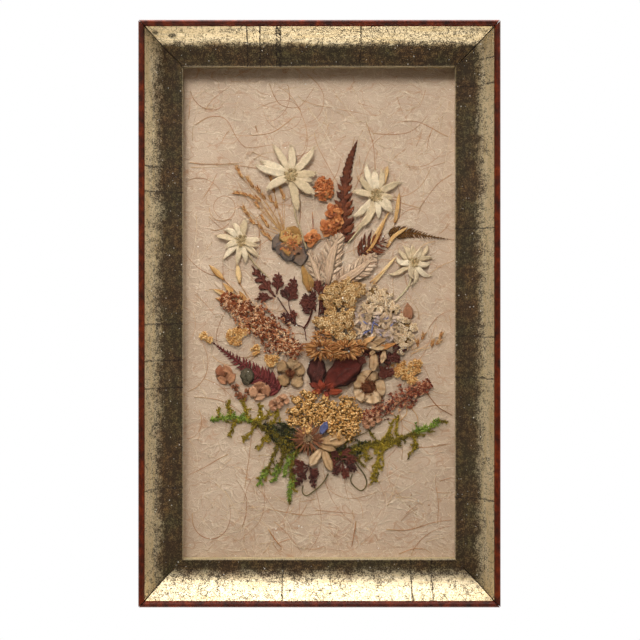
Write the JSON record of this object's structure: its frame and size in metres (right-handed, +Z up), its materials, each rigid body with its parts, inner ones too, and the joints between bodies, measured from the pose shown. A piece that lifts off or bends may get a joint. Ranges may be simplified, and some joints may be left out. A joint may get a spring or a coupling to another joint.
{
  "type": "pressed flower frame",
  "caption": "Small gilt scoop wall frame with a red bead, holding a pressed bouquet of edelweiss, ferns, yarrow and moss on fibre paper behind glass.",
  "frame": {"origin": "middle of the sawtooth hanger, on the wall plane", "axes": "+X right as seen from the front, +Z up, -Y out of the wall towards the viewer"},
  "size_m": [0.181, 0.027, 0.2935],
  "materials": {
    "moulding": "pale gold leaf, rubbed and crackled over dark brown, on a scoop moulding with a red-lacquered bead and stained sides",
    "glass": "clear picture glass, slightly dusty",
    "card": "grey-brown bookbinder's board",
    "fibre_paper": "handmade mulberry paper, pinkish beige with long pale and rust fibres, wrinkled",
    "steel": "zinc-plated strip and wire",
    "cream_petal": "felted, woolly, cream to pale green",
    "orange_petal": "dry and papery, rust orange",
    "straw": "dry straw, tan to orange",
    "brown_frond": "dry fern, red brown to olive",
    "rose_floret": "dry heather florets, pink brown",
    "maroon_leaf": "pressed leaf, maroon to plum, dull",
    "silver_leaf": "downy, pinkish grey",
    "slate_petal": "thin faded petals, slate blue to lilac",
    "golden_floret": "grainy dry florets, golden to cream",
    "moss": "feathery moss, olive to bright green"
  },
  "bodies": {
    "root": {"rail_top": "moulding", "rail_bottom": "moulding", "rail_left": "moulding", "rail_right": "moulding", "glass_pane": "glass", "paper_sheet": "fibre_paper", "backing_board": "card", "spacer_top": "card", "spacer_bottom": "card", "spacer_left": "card", "spacer_right": "card", "moss_left": "moss", "moss_right": "moss", "fern_red_brown": "brown_frond", "fern_olive": "brown_frond", "grass_fan": "straw", "oat_sprig": "straw", "straw_blade": "straw", "fern_brown": "brown_frond", "silver_leaf_left": "silver_leaf", "silver_leaf_middle": "silver_leaf", "silver_leaf_right": "silver_leaf", "maroon_leaf_left": "maroon_leaf", "maroon_leaf_middle": "maroon_leaf", "heather_panicle": "rose_floret", "fern_crimson": "maroon_leaf", "terracotta_left": "rose_floret", "terracotta_right": "rose_floret", "yarrow_cream_top": "golden_floret", "yarrow_cream_middle": "golden_floret", "yarrow_mauve": "golden_floret", "lilac_flowers": "slate_petal", "chrysanthemums": "golden_floret", "dark_leaf_right": "maroon_leaf", "panicle_right": "rose_floret", "petal_plum": "maroon_leaf", "petal_red": "maroon_leaf", "flower_khaki": "moss", "flower_cream": "cream_petal", "yarrow_golden_left": "golden_floret", "yarrow_golden_right": "golden_floret", "maroon_leaf_bottom": "maroon_leaf", "maroon_leaf_corner": "maroon_leaf", "daisy_brown": "brown_frond", "pansy": "slate_petal", "orange_buds": "orange_petal", "orange_seed_head": "orange_petal", "edelweiss_left": "cream_petal", "edelweiss_right": "cream_petal", "edelweiss_top_right": "cream_petal", "edelweiss_top_left": "cream_petal", "point_top": "steel", "point_bottom": "steel", "point_left_upper": "steel", "point_left_lower": "steel", "point_right_upper": "steel", "point_right_lower": "steel", "hanger": "steel", "nail_left": "steel", "nail_right": "steel"}
  },
  "joints": []
}
